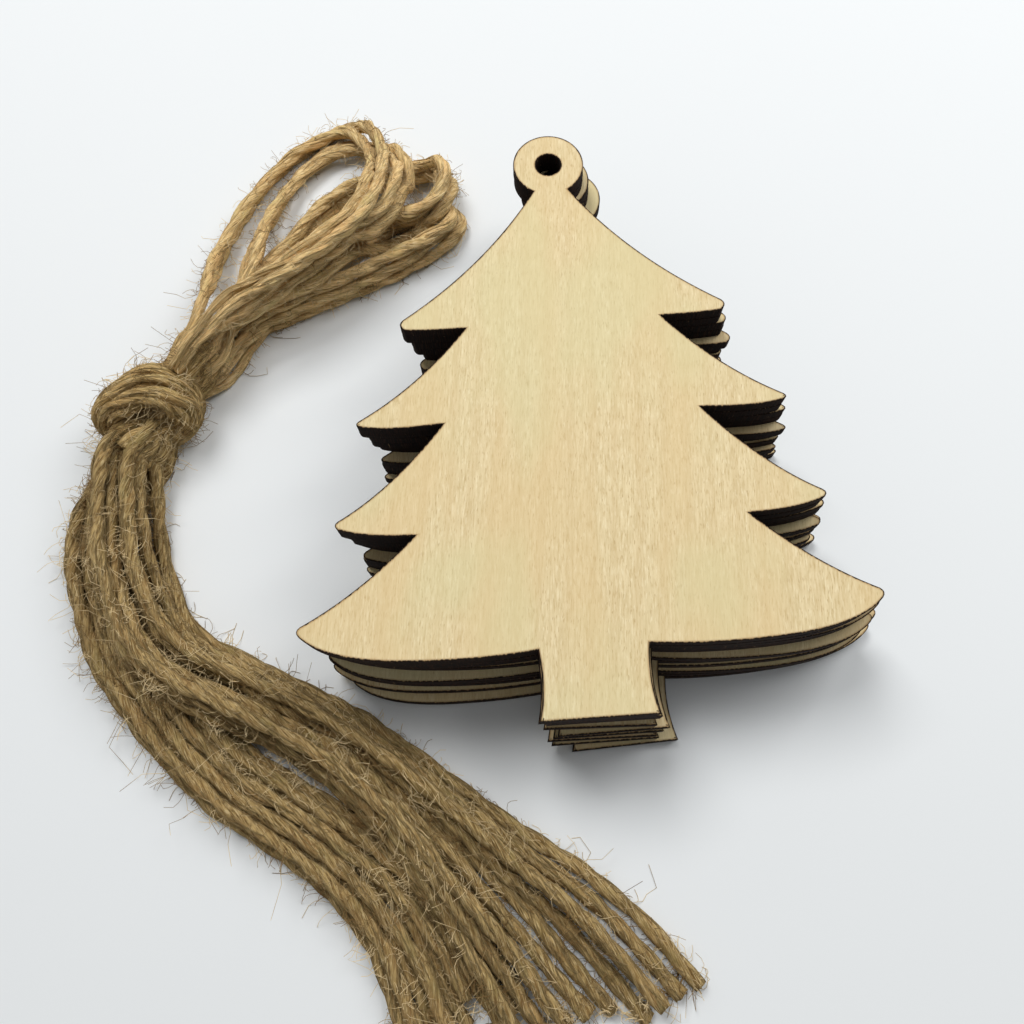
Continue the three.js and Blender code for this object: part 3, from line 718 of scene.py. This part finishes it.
def hair_tree(finish):
    """A Geometry Nodes tree that grows curled hairs out of a mesh."""
    tree = bpy.data.node_groups.new("stray_fibres", "GeometryNodeTree")
    tree.interface.new_socket("Skin", in_out="INPUT", socket_type="NodeSocketGeometry")
    for name in ("Hairs per square metre", "Length", "Thickness", "Spread", "Curl"):
        tree.interface.new_socket(name, in_out="INPUT", socket_type="NodeSocketFloat")
    tree.interface.new_socket("Hairs", in_out="OUTPUT", socket_type="NodeSocketGeometry")
    graph = Graph(tree)
    skin, density, length, thickness, spread, curl = (
        Wire(graph, socket) for socket in tree.nodes.new("NodeGroupInput").outputs[:6])
    roots = graph.node("GeometryNodeDistributePointsOnFaces", {"distribute_method": "RANDOM"},
                       {"Mesh": skin, "Density": density, "Seed": HAIR_SEED})
    outward = Wire(graph, roots.socket.node.outputs["Normal"])
    aside = graph.node("FunctionNodeRandomValue", {"data_type": "FLOAT_VECTOR"},
                       {"Min": (-1.0, -1.0, -1.0), "Max": (1.0, 1.0, 1.0), "Seed": HAIR_SEED})
    aim = graph.vector("ADD", outward, graph.node("ShaderNodeVectorMath", {"operation": "SCALE"},
                                                  {0: aside, "Scale": spread}))
    spin = graph.node("FunctionNodeRandomValue", {"data_type": "FLOAT_VECTOR"},
                      {"Min": (0.0, 0.0, 0.0), "Max": (0.0, 0.0, 2 * math.pi), "Seed": HAIR_SEED})
    spin = graph.node("FunctionNodeEulerToRotation", {}, {0: spin})
    turn = graph.node("FunctionNodeAlignRotationToVector", {"axis": "Z"},
                      {"Rotation": spin, "Vector": aim})
    share = graph.node("FunctionNodeRandomValue", {"data_type": "FLOAT"},
                       {"Min": SHORTEST_HAIR, "Max": 1.0, "Seed": LENGTH_SEED})
    tip = graph.node("ShaderNodeCombineXYZ", {}, {0: curl, 1: 0.0, 2: HAIR_TIP})
    line = graph.node("GeometryNodeCurveQuadraticBezier", {}, {
        "Resolution": HAIR_POINTS - 1, "Start": (0.0, 0.0, 0.0), "Middle": (0.0, 0.0, HAIR_KNEE),
        "End": tip})
    hairs = graph.node("GeometryNodeInstanceOnPoints", {}, {
        "Points": roots, "Instance": line, "Rotation": turn, "Scale": length * share * share})
    hairs = graph.node("GeometryNodeRealizeInstances", {}, {"Geometry": hairs})
    factor = graph.node("GeometryNodeSplineParameter")
    place = graph.node("GeometryNodeInputPosition")
    noise = graph.noise(place, scale=SWIRL_SCALE, detail=0.0, output=1)
    swirl = graph.vector("SUBTRACT", noise, (0.5, 0.5, 0.5))
    pull = graph.node("ShaderNodeVectorMath", {"operation": "SCALE"},
                      {0: swirl, "Scale": factor * factor * length})
    hairs = graph.node("GeometryNodeSetPosition", {}, {"Geometry": hairs, "Offset": pull})
    x, y, z = graph.parts(graph.node("GeometryNodeInputPosition"))
    above = graph.node("ShaderNodeCombineXYZ", {}, {0: x, 1: y, 2: z.math("MAXIMUM", thickness)})
    hairs = graph.node("GeometryNodeSetPosition", {}, {"Geometry": hairs, "Position": above})
    taper = 1 - graph.node("GeometryNodeSplineParameter") * HAIR_TAPER
    hairs = graph.node("GeometryNodeSetCurveRadius", {}, {"Curve": hairs, "Radius": taper})
    section = graph.node("GeometryNodeCurvePrimitiveCircle", {"mode": "RADIUS"},
                         {"Resolution": HAIR_SIDES, "Radius": thickness * 0.5})
    hairs = graph.node("GeometryNodeCurveToMesh", {},
                       {"Curve": hairs, "Profile Curve": section, "Fill Caps": True})
    hairs = graph.node("GeometryNodeRealizeInstances", {}, {"Geometry": hairs})
    hairs = graph.node("GeometryNodeSetMaterial", {}, {"Geometry": hairs, "Material": finish})
    graph.join(hairs, tree.nodes.new("NodeGroupOutput").inputs["Hairs"])
    return tree


def skin_of(name, paths):
    """A bare skin round several paths, for hairs to grow from."""
    random = np.random.default_rng(SKIN_SEED)
    parts = [ply_tube(path[:, :3], path[:, 3] * SKIN_FULLNESS, SKIN_SIDES, random) for path in paths]
    return mesh_object(name, parts, None)


def end_discs(paths):
    """A small disc across the end of each tail, for its frayed fibres."""
    discs = []
    for path in paths:
        end, before = path[-1, :3], path[-4, :3]
        along = (end - before) / np.linalg.norm(end - before)
        side = np.cross(along, (0, 0, 1))
        side /= np.linalg.norm(side)
        above = np.cross(side, along)
        for angle in np.linspace(0, 2 * math.pi, DISC_SIDES, endpoint=False):
            outward = side * math.cos(angle) + above * math.sin(angle)
            discs.append(end + outward * path[-1, 3] * DISC_FULLNESS)
    mesh = bpy.data.meshes.new("end_discs")
    faces = [tuple(range(start, start + DISC_SIDES)) for start in range(0, len(discs), DISC_SIDES)]
    mesh.from_pydata((np.vstack(discs) * MM).tolist(), [], faces)
    return link(bpy.data.objects.new("end_discs", mesh))


def grow_hairs(name, skin, tree, length, density, thickness, spread, curl):
    """Replaces a skin by the hairs that the tree grows on it."""
    modifier = skin.modifiers.new("hairs", "NODES")
    modifier.node_group = tree
    values = {"Hairs per square metre": density, "Length": length, "Thickness": thickness,
              "Spread": spread, "Curl": curl}
    for item in tree.interface.items_tree:
        if item.in_out == "INPUT" and item.name in values:
            modifier[item.identifier] = values[item.name]
    bpy.context.view_layer.update()
    evaluated = skin.evaluated_get(bpy.context.evaluated_depsgraph_get())
    mesh = bpy.data.meshes.new_from_object(evaluated)
    mesh.name = name
    skin.modifiers.remove(modifier)
    bpy.data.objects.remove(skin)
    piece = link(bpy.data.objects.new(name, mesh))
    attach(piece, "strings")
    return piece


# The tags, in millimetres, with the outline of the solids drawn finer

TAG_THICKNESS = 2.0
RING_RADIUS = 5.65
RING_HEIGHT = 87.15
HOLE_RADIUS = 2.0
NECK_HALF_WIDTH = 2.8
TRUNK_HEIGHT = 9.35
TRUNK_HALF_WIDTH = 7.5
TRUNK_FOOT_HALF_WIDTH = 7.95
TRUNK_FLARE = 1.0
TIERS = [
    {"tip": (25.2, 59.7), "under": (-1.2, -0.9), "over": (-1.0, 0.9), "root": (14.8, 58.5),
     "belly": (1.6, -0.25), "hollow": (-2.3, -2.25)},
    {"tip": (31.8, 43.9), "under": (-0.7, -0.4), "over": (-0.7, 0.5), "root": (18.8, 43.1),
     "belly": (2.55, -0.9), "hollow": (-0.65, -2.15)},
    {"tip": (35.0, 28.8), "under": (-0.7, -0.7), "over": (-0.8, 0.5), "root": (23.4, 26.5),
     "belly": (1.65, -0.8), "hollow": (0, -2.6)},
    {"tip": (40.3, 14.1), "under": (-0.7, -0.8), "over": (-0.9, 0.6), "root": (24.0, 8.95),
     "belly": (4.0, -1.7), "hollow": (0.1, -2.0)},
]
SKIRT_BELLY = (-0.75, -0.65)
TAG_LIE = [
    (0, 0, 0), (-0.05, 0, -0.2), (1.0, 0, -0.2), (1.1, 0, -0.2), (2.0, -0.65, -1.8), (2.0, -1.3, 0.7),
    (1.85, -1.5, 0.1), (1.9, -1.85, -0.9), (1.6, -2.2, 0.2), (3.0, -2.9, 2.3),
]

EDGE_STEP = 0.45
RIM_WIDTH = 0.11
RIM_CHAR = 0.8
SCORCH_WIDTH = 0.38
WALL_DEPTH = 0.01
CUT_RELIEF = 0.015
SHARP_ANGLE = 32
WALL_LEVELS = (0.05, 0.35, 0.7, 1.0, 1.3, 1.65, 1.95)
GRAIN_LEAN = 5.5


def bent_edge(a, b, lean):
    """Points of an edge from a to b after its first one, leaning towards a point beside its middle."""
    a, b, lean = (np.array(point, float) for point in (a, b, lean))
    control = (a + b) / 2 + lean
    steps = max(math.ceil(np.linalg.norm(b - a) / EDGE_STEP), 3)
    t = np.linspace(0, 1, steps + 1)[1:, None]
    return (1 - t) ** 2 * a + 2 * t * (1 - t) * control + t ** 2 * b


def round_points(radius, start, sweep):
    """Points on a circle round the middle of the ring."""
    angles = start + np.linspace(0, sweep, max(math.ceil(abs(sweep) * radius / EDGE_STEP), 24))
    return np.column_stack([radius * np.cos(angles), RING_HEIGHT + radius * np.sin(angles)])


def tag_outline():
    """The outline of a tag, anticlockwise, and its hole, clockwise."""
    foot = (TRUNK_FOOT_HALF_WIDTH, 0)
    trunk_top = (TRUNK_HALF_WIDTH, TRUNK_HEIGHT)
    neck = (NECK_HALF_WIDTH, RING_HEIGHT - math.sqrt(RING_RADIUS ** 2 - NECK_HALF_WIDTH ** 2))
    half = [bent_edge((0, 0), foot, (0, 0)), bent_edge(foot, trunk_top, (-TRUNK_FLARE, 0)),
            bent_edge(trunk_top, TIERS[-1]["root"], SKIRT_BELLY)]
    higher_roots = [tier["root"] for tier in reversed(TIERS[:-1])] + [neck]
    for tier, above in zip(reversed(TIERS), higher_roots):
        tip, under, over = (np.array(tier[key]) for key in ("tip", "under", "over"))
        blunt = bent_edge(tip + under, tip + over, tip - (2 * tip + under + over) / 2)
        half += [bent_edge(tier["root"], tip + under, tier["belly"]), blunt,
                 bent_edge(tip + over, above, tier["hollow"])]
    half = np.vstack(half)
    start = math.atan2(neck[1] - RING_HEIGHT, neck[0])
    ring = round_points(RING_RADIUS, start, math.pi - 2 * start)[1:-1]
    mirrored = (half * (-1, 1))[::-1]
    hole = round_points(HOLE_RADIUS, 0, -2 * math.pi)[1:]
    middle = np.array([0, (RING_HEIGHT + RING_RADIUS) / 2])
    return np.vstack([half, ring, mirrored, [[0, 0]]]) - middle, hole - middle


def drawn_in(loop, distance):
    """A closed outline moved evenly into the wood, which lies to its left."""
    before, after = loop - np.roll(loop, 1, axis=0), np.roll(loop, -1, axis=0) - loop
    inward = []
    for edge in (before, after):
        edge = edge / np.linalg.norm(edge, axis=1)[:, None]
        inward.append(np.column_stack([-edge[:, 1], edge[:, 0]]))
    middle = inward[0] + inward[1]
    middle /= np.linalg.norm(middle, axis=1)[:, None]
    stretch = np.clip((middle * inward[0]).sum(axis=1), 0.6, 1)
    return loop + middle * (distance / stretch)[:, None]


def grain_place(point):
    """A place on a face, across and along the grain, which leans a little to the tag's right."""
    lean = math.radians(GRAIN_LEAN)
    x, y = point[:2]
    return x * math.cos(lean) - y * math.sin(lean), x * math.sin(lean) + y * math.cos(lean)


def cut_tag(level, lie, plywood, random):
    """One tag, with the dark rim and the charred walls that the laser leaves."""
    x, y, turn = lie
    shift = random.uniform(-40, 40, 2)
    vertices, faces, uvs, chars, caps = [], [], [], [], {0: [], 1: []}
    for loop in tag_outline():
        count = len(loop)
        start = len(vertices)
        rows = [(drawn_in(loop, RIM_WIDTH + SCORCH_WIDTH), 0, 0),
                (drawn_in(loop, RIM_WIDTH), 0, RIM_CHAR)]
        for height in WALL_LEVELS:
            depth = WALL_DEPTH + abs(random.normal(scale=CUT_RELIEF))
            rows.append((drawn_in(loop, depth), height, 1))
        rows += [(rows[1][0], TAG_THICKNESS, RIM_CHAR), (rows[0][0], TAG_THICKNESS, 0)]
        arcs = np.concatenate([arc_lengths(loop), [0]])
        arcs[-1] = arcs[-2] + np.linalg.norm(loop[0] - loop[-1])
        for points, height, char in rows:
            vertices += [(px, py, height) for px, py in points]
            chars += [char] * count
        for row in range(len(rows) - 1):
            wall = rows[row][2] == 1 and rows[row + 1][2] == 1
            for j in range(count):
                k = (j + 1) % count
                corners = [start + row * count + j, start + row * count + k,
                           start + (row + 1) * count + k, start + (row + 1) * count + j]
                faces.append(corners)
                if wall:
                    low, high = rows[row][1], rows[row + 1][1]
                    uvs += [(arcs[j], low), (arcs[j + 1], low), (arcs[j + 1], high), (arcs[j], high)]
                else:
                    uvs += [grain_place(vertices[corner]) for corner in corners]
        caps[0].append([start + j for j in range(count)])
        caps[1].append([start + (len(rows) - 1) * count + j for j in range(count)])
    for top, loops in caps.items():
        flat = [corner for loop in loops for corner in loop]
        for triangle in tessellate_polygon([[Vector(vertices[i]) for i in loop] for loop in loops]):
            corners = [flat[i] for i in triangle]
            a, b, c = (np.array(vertices[i][:2]) for i in corners)
            upward = np.cross(b - a, c - a) > 0
            corners = corners if upward == bool(top) else corners[::-1]
            faces.append(corners)
            uvs += [grain_place(vertices[corner]) for corner in corners]
    lying = np.array(vertices, float)
    angle = math.radians(turn)
    spin = np.array([[math.cos(angle), math.sin(angle)], [-math.sin(angle), math.cos(angle)]])
    lying[:, :2] = lying[:, :2] @ spin + (x, y)
    lying[:, 2] += level * TAG_THICKNESS
    name = f"tree_tag_{level + 1:02d}"
    mesh = bpy.data.meshes.new(name)
    mesh.from_pydata((lying * MM).tolist(), [], faces)
    places = ((np.array(uvs) + shift) / 10).astype(np.float32)
    mesh.uv_layers.new(name="veneer").data.foreach_set("uv", places.ravel())
    mesh.attributes.new("char", "FLOAT", "POINT").data.foreach_set("value", chars)
    mesh.materials.append(plywood)
    mesh.shade_smooth()
    mesh.set_sharp_from_angle(angle=math.radians(SHARP_ANGLE))
    piece = link(bpy.data.objects.new(name, mesh))
    node = f"tag_{level + 1:02d}"
    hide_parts(node)
    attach(piece, node)


# The table and the light

TABLE_SIZE = 3.0
ROOM_TINT = (0.99, 0.995, 1.0, 1)
ROOM_LIGHT = 0.22
ROOM_BRIGHTNESS = 0.86

# Each lamp: its name, where it stands in metres, its size in metres and its power in watts
LAMPS = [("window", (-0.2, 0.38, 0.68), 0.36, 3.75), ("far_window", (0.44, 0.3, 0.56), 0.46, 3.1)]


def table_top():
    """A plain pale table under everything."""
    mesh = bpy.data.meshes.new("table_top")
    half = TABLE_SIZE / 2
    corners = [(-half, -half, 0), (half, -half, 0), (half, half, 0), (-half, half, 0)]
    mesh.from_pydata(corners, [], [(0, 1, 2, 3)])
    finish = Finish("pale_table")
    finish.surface_is(Base_Color=tone(232, 235, 236), Roughness=0.6, Specular_IOR_Level=0.2)
    mesh.materials.append(finish.material)
    link(bpy.data.objects.new("table_top", mesh))


def lamp(name, place, size, power):
    """A soft square lamp that points at the middle of the object."""
    data = bpy.data.lights.new(name, "AREA")
    data.shape = "SQUARE"
    data.size = size
    data.energy = power
    light = link(bpy.data.objects.new(name, data))
    light.location = place
    light.rotation_euler = (-Vector(place)).to_track_quat("-Z", "Y").to_euler()


def studio():
    """A pale room: its light is soft and weak, and where it is seen it is nearly white."""
    world = bpy.data.worlds.new("studio")
    world.use_nodes = True
    sky = world.node_tree.nodes["Background"]
    sky.inputs["Color"].default_value = ROOM_TINT
    graph = Graph(world.node_tree)
    paths = graph.node("ShaderNodeLightPath").socket.node.outputs
    seen = Wire(graph, paths["Is Camera Ray"])
    for ray in ("Is Glossy Ray", "Is Transmission Ray"):
        seen = seen.math("MAXIMUM", Wire(graph, paths[ray]))
    graph.join(seen * (ROOM_BRIGHTNESS - ROOM_LIGHT) + ROOM_LIGHT, sky.inputs["Strength"])
    bpy.context.scene.world = world
    for settings in LAMPS:
        lamp(*settings)
    bpy.context.scene.view_settings.view_transform = "Standard"


photo_camera()
# Lit and shaded copies of one jute: the loops are painted paler as painted light, the tails are painted
# darker as painted shade, and the knot lies between them
loop_jute = jute_finish("jute_loops_painted_light", 1.38, 0.13, 0.7)
knot_jute = jute_finish("jute_knot", 1.08, 0, 1.0)
tail_jute = jute_finish("jute_tails_painted_shade", 0.91, 0, 1.0)
random = np.random.default_rng(8)

knot, knot_paths = tie_knot(knot_jute, random)
loop_paths = []
for number, loop in enumerate(LOOPS, start=1):
    stations = lay(loop_stations(*loop))
    stations = diving(stations, NECK_ALONG, NECK_REACH)
    stations = diving(stations[::-1], NECK_ALONG, NECK_REACH)[::-1]
    name = f"{number:02d}_loop"
    loop_paths.append(lay_string(f"string_{name}", f"jute_{name}", stations, loop_jute,
                                 random))

tail_paths = []
for index, tail in enumerate(TAILS):
    name = f"{index // 2 + 1:02d}_tail_{'ab'[index % 2]}"
    stations = diving(lay(tail_stations(*tail)), EXIT_ALONG, EXIT_REACH)
    tail_paths.append(lay_string(f"string_{name}", f"jute_{name}", stations, tail_jute, random))

hairs = hair_tree(stray_fibre_finish())
left_tails = sum(tress is LEFT_TRESS for tress, _, _ in TAILS)
for name, paths, length in (("loop", loop_paths, LOOP_HAIR), ("knot", knot_paths, KNOT_HAIR),
                            ("left_tail", tail_paths[:left_tails], TAIL_HAIR),
                            ("right_tail", tail_paths[left_tails:], TAIL_HAIR)):
    skin = skin_of(f"{name}_skin", paths)
    grow_hairs(f"{name}_fuzz", skin, hairs, length, **SHORT_HAIRS)
    skin = skin_of(f"{name}_skin", paths)
    grow_hairs(f"{name}_long_fuzz", skin, hairs, length * LONG_HAIR_SHARE, **LONG_HAIRS)
grow_hairs("frayed_ends", end_discs(tail_paths), hairs, FRAYED_HAIR, **FRAYED_HAIRS)

plywood = plywood_finish()
for from_top, lie in enumerate(TAG_LIE):
    cut_tag(len(TAG_LIE) - 1 - from_top, lie, plywood, random)

table_top()
studio()
